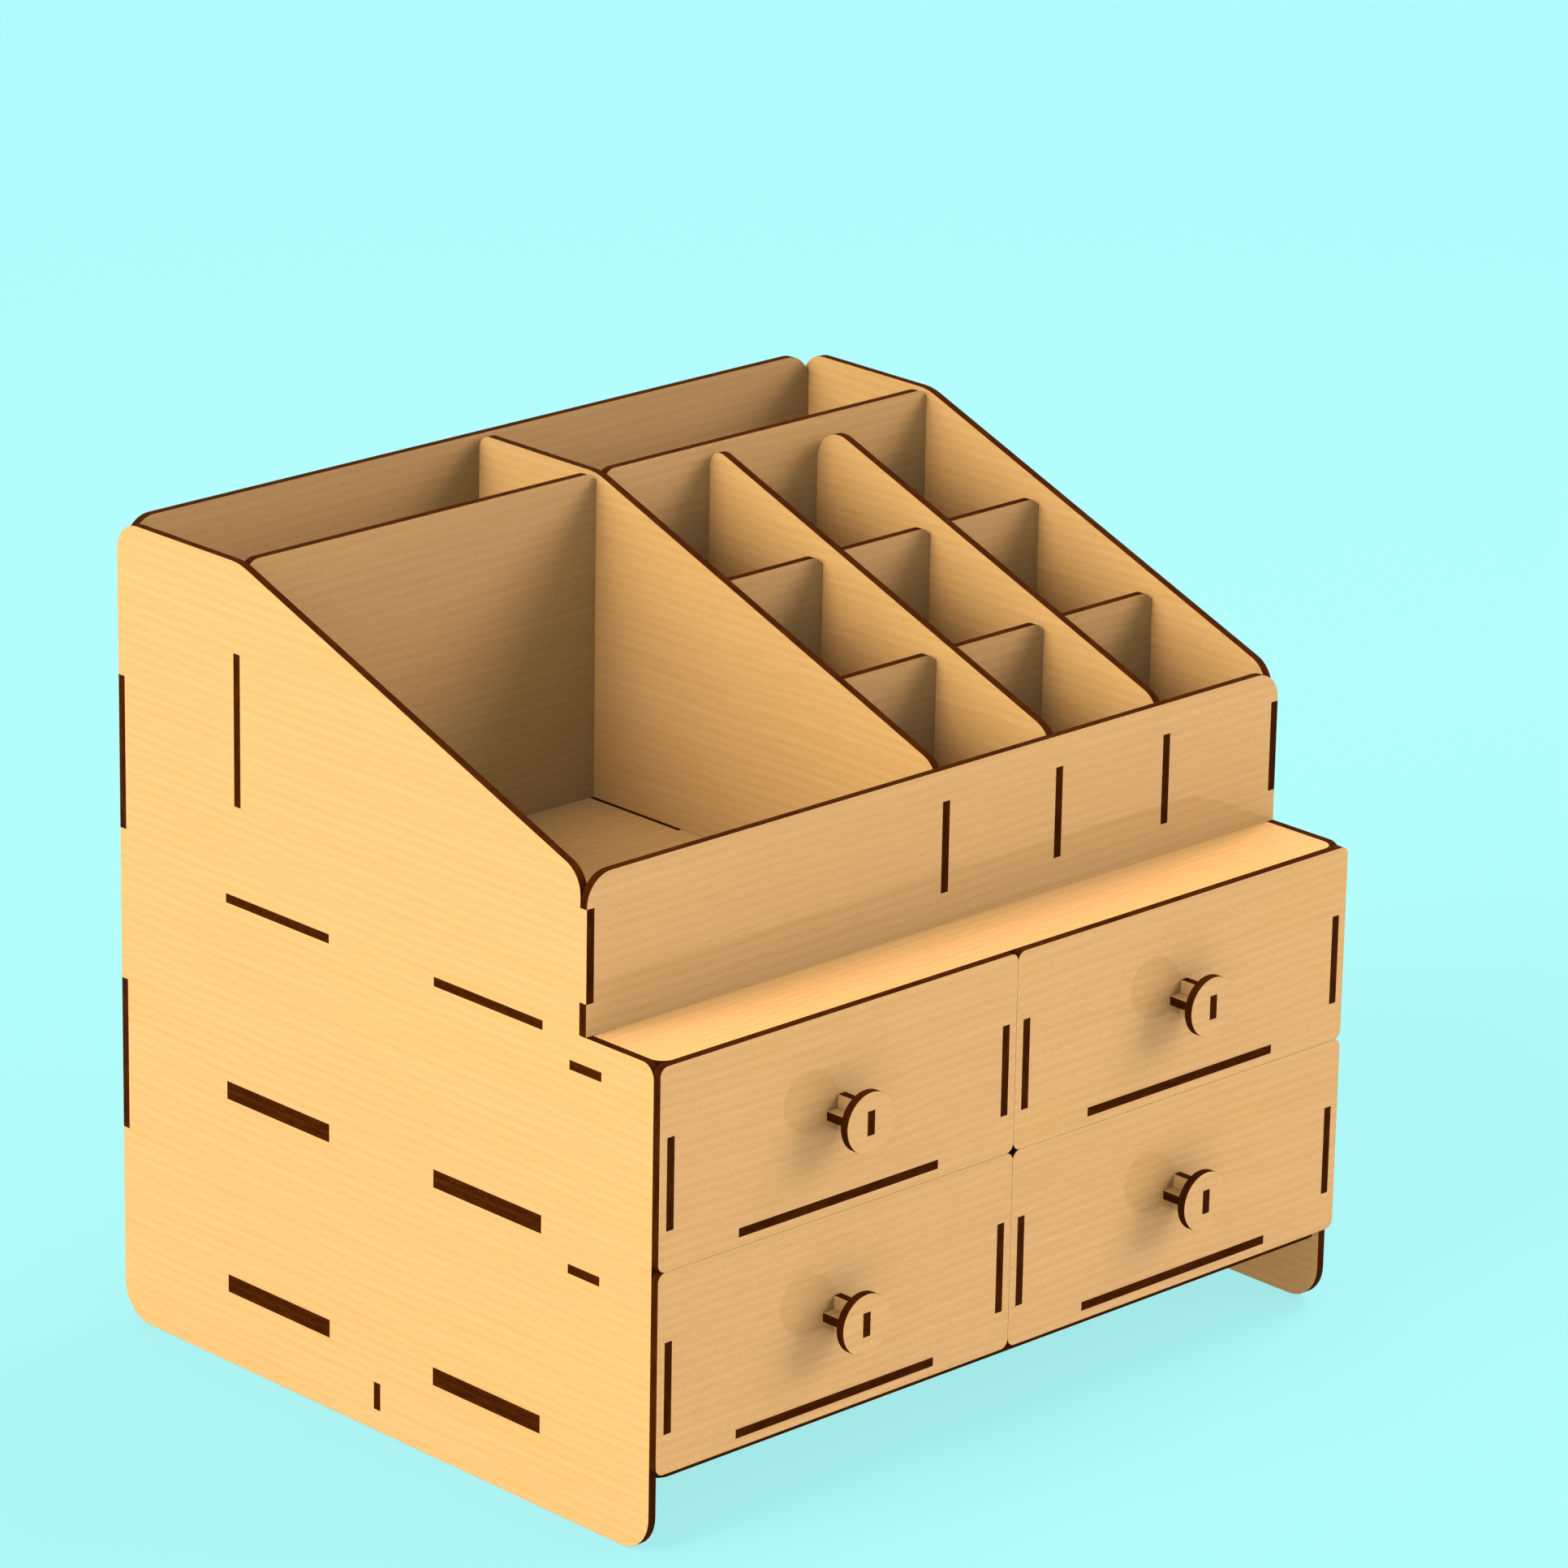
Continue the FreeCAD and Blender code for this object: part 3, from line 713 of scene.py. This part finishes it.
@dataclass
class Drawer(Assembly):
    """One drawer: its box, and the knob's disc on two crossed webs."""

    title: str = "drawer"
    place: str = "upper_left"

    def __post_init__(self) -> None:
        """Names the drawer's sheets from its place."""
        stem = f"{self.place}_drawer"
        self.title = stem.replace("_", " ")
        self.lengthwise = tuple(
            f"{stem}_{part}" for part in ("left_side", "right_side", "knob_upright_web")
        )
        self.crosswise = tuple(f"{stem}_{part}" for part in ("front", "back", "knob_disc"))
        self.flat = tuple(f"{stem}_{part}" for part in ("floor", "knob_flat_web"))
        self.sharp = (f"{stem}_front",)


@dataclass(frozen=True)
class Lamp:
    """A broad, soft lamp, aimed at the organizer.

    toward is the way to the lamp, away its distance and wide its width, both in metres. level is
    how bright it makes a white surface that faces it.
    """

    name: str
    toward: Point
    away: float
    wide: float
    level: float
    colour: Colour

    def light(self, target: Vector) -> None:
        """Hangs the lamp.

        Args:
            target: the point that the lamp faces.
        """
        data = bpy.data.lights.new(self.name, "AREA")
        data.shape = "DISK"
        data.size = self.wide
        data.color = self.colour
        data.energy = self.level * math.pi**2 * self.away**2
        made = bpy.data.objects.new(self.name, data)
        back = Vector(self.toward).normalized()
        made.location = target + back * self.away
        made.rotation_mode = "QUATERNION"
        made.rotation_quaternion = (-back).to_track_quat("-Z", "Y")
        bpy.context.scene.collection.objects.link(made)
        LOG.info("%s: level %.2f at %.1f m", self.name, self.level, self.away)


@dataclass(frozen=True)
class Glint:
    """A weak, low lamp with sharp shadows, which draws the knobs' faint second shadow."""

    name: str = "low_lamp"
    travel: Point = (-1.1, 1.0, 0.53)
    level: float = 0.34
    angle: float = 0.01
    colour: Colour = (1.0, 0.93, 0.90)

    def light(self) -> None:
        """Sets the lamp, whose light travels one way everywhere."""
        data = bpy.data.lights.new(self.name, "SUN")
        data.energy = self.level
        data.color = self.colour
        data.angle = self.angle
        made = bpy.data.objects.new(self.name, data)
        made.rotation_mode = "QUATERNION"
        made.rotation_quaternion = Vector(self.travel).to_track_quat("-Z", "Y")
        bpy.context.scene.collection.objects.link(made)
        LOG.info("%s: level %.2f", self.name, self.level)


def backdrop_mask(tree: Tree) -> Socket:
    """Makes the mask of the rays that should see the backdrop's own colour.

    Args:
        tree: the tree that the mask is for.

    Returns:
        The mask: 1 for camera, glossy and transmission rays.
    """
    path = tree.node("LightPath").outputs
    seen = tree.sum(Maths.MAXIMUM, path["Is Camera Ray"], path["Is Glossy Ray"])
    return tree.sum(Maths.MAXIMUM, seen, path["Is Transmission Ray"])


@dataclass(frozen=True)
class Floor:
    """The floor. It keeps a faint shadow near the organizer and is plain backdrop further off.

    lit is its colour under the lamps, and shade_share how much of that shows near the organizer.
    fade is where that starts and stops to give way to the backdrop, in metres. To the sheets it
    gives a steady glow, and passes on a little of the lamps' light.
    """

    half: float = 9.0
    drop: float = 0.0002
    lit: Colour = (0.300, 0.655, 0.660)
    shade_share: float = 0.2
    fade: Range = (0.5, 1.8)
    glow: Colour = (1.0, 0.985, 0.925)
    glow_level: float = 0.680
    passed_on: Colour = (0.15, 0.15, 0.15)

    def build(self, backdrop: Colour) -> None:
        """Lays the floor.

        Args:
            backdrop: the backdrop's colour.
        """
        half = self.half
        outline = [(-half, -half), (half, -half), (half, half), (-half, half)]
        mesh = bpy.data.meshes.new("floor")
        mesh.from_pydata([(x, y, -self.drop) for x, y in outline], [], [(0, 1, 2, 3)])
        mesh.materials.append(self._material(backdrop))
        floor = bpy.data.objects.new("floor", mesh)
        bpy.context.scene.collection.objects.link(floor)
        floor.visible_shadow = False
        LOG.info("floor: %.0f m square", half * 2)

    def _material(self, backdrop: Colour) -> bpy.types.Material:
        """Makes the floor's material.

        Args:
            backdrop: the backdrop's colour.

        Returns:
            The material.
        """
        made = bpy.data.materials.new("floor")
        made.use_nodes = True
        tree = Tree(made.node_tree)
        reach = tree.node("VectorMath", operation="LENGTH")
        tree.feed(reach.inputs[0], tree.node("TexCoord").outputs["Object"])
        far = tree.spread(reach.outputs["Value"], self.fade)
        plain = tree.spread(far, (0.0, 1.0), (1.0 - self.shade_share, 1.0))
        shown = tree.mix(
            plain, tree.shade("BsdfDiffuse", self.lit), tree.shade("Emission", backdrop)
        )
        given = tree.node("AddShader")
        tree.feed(given.inputs[0], tree.shade("Emission", self.glow, self.glow_level))
        tree.feed(given.inputs[1], tree.shade("BsdfDiffuse", self.passed_on))
        surface = tree.mix(backdrop_mask(tree), given.outputs[0], shown)
        tree.feed(tree.node("OutputMaterial").inputs["Surface"], surface)
        return made


@dataclass(frozen=True)
class Sky:
    """The even light from all round, behind the backdrop that the camera sees."""

    colour: Colour = (0.760, 0.911, 1.0)
    level: float = 0.541

    def build(self, backdrop: Colour) -> None:
        """Sets the world.

        Args:
            backdrop: the backdrop's colour.
        """
        world = bpy.data.worlds.new("studio")
        world.use_nodes = True
        bpy.context.scene.world = world
        tree = Tree(world.node_tree)
        even = tree.shade("Background", self.colour, self.level)
        surface = tree.mix(backdrop_mask(tree), even, tree.shade("Background", backdrop))
        tree.feed(tree.node("OutputWorld").inputs["Surface"], surface)
        LOG.info("sky: level %.2f", self.level)


@dataclass(frozen=True)
class Studio:
    """The plain, pale studio: a floor, a backdrop of the same colour, and soft lamps."""

    backdrop: Colour = (0.445, 0.973, 0.982)
    target: Point = (0.0, 0.0, 0.12)
    floor: Floor = Floor()
    sky: Sky = Sky()
    lamps: tuple[Lamp, ...] = (
        Lamp("window_lamp", (-0.895, 0.150, 0.420), 6.0, 4.0, 0.680, (0.935, 1.0, 0.855)),
        Lamp("high_lamp", (-0.800, 0.000, 0.600), 6.0, 3.0, 0.442, (1.0, 0.812, 0.642)),
        Lamp("front_lamp", (0.660, -0.600, 0.450), 6.0, 3.9, 0.500, (1.0, 0.935, 0.990)),
        Lamp("side_lamp", (0.780, 0.060, 0.620), 6.0, 3.0, 0.810, (1.0, 0.835, 0.648)),
        Lamp("overhead_lamp", (-0.050, 0.120, 0.990), 6.0, 2.4, 0.156, (1.0, 0.815, 0.505)),
    )
    glint: Glint = Glint()

    def build(self) -> None:
        """Sets up the floor, the sky and the lamps."""
        self.floor.build(self.backdrop)
        self.sky.build(self.backdrop)
        for lamp in self.lamps:
            lamp.light(Vector(self.target))
        self.glint.light()


@dataclass(frozen=True)
class Viewpoint:
    """The camera, at the left front corner and above the organizer.

    lens and sensor are in millimetres, and near and far in metres.
    """

    place: Point = (-1.63266, -1.70932, 1.00560)
    ahead: Point = (0.65554314, 0.68046344, -0.32746405)
    up: Point = (0.21410167, 0.24836773, 0.94470839)
    lens: float = 177.42
    sensor: float = 36.0
    near: float = 0.05
    far: float = 60.0

    def build(self) -> None:
        """Makes the camera and looks through it."""
        data = bpy.data.cameras.new("viewpoint")
        data.sensor_width = self.sensor
        data.lens = self.lens
        data.clip_start = self.near
        data.clip_end = self.far
        made = bpy.data.objects.new("viewpoint", data)
        back = -Vector(self.ahead)
        up = Vector(self.up)
        side = up.cross(back)
        turn = Matrix((side, up, back)).transposed().to_4x4()
        made.matrix_world = Matrix.Translation(Vector(self.place)) @ turn
        bpy.context.scene.collection.objects.link(made)
        bpy.context.scene.camera = made
        LOG.info("viewpoint: %.1f mm lens", self.lens)


def main() -> None:
    """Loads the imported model, dresses its sheets and sets up the studio."""
    logging.basicConfig(level=logging.INFO, format="%(name)s: %(message)s")
    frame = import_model()
    bpy.context.scene.view_settings.view_transform = "Standard"
    Viewpoint().build()
    finish = Plywood().materials()
    places = ("upper_left", "upper_right", "lower_left", "lower_right")
    for group in (Carcass(), ToolRack(), *(Drawer(place=place) for place in places)):
        group.dress(frame["nodes"], finish)
    Studio().build()


if __name__ == "__main__":
    main()
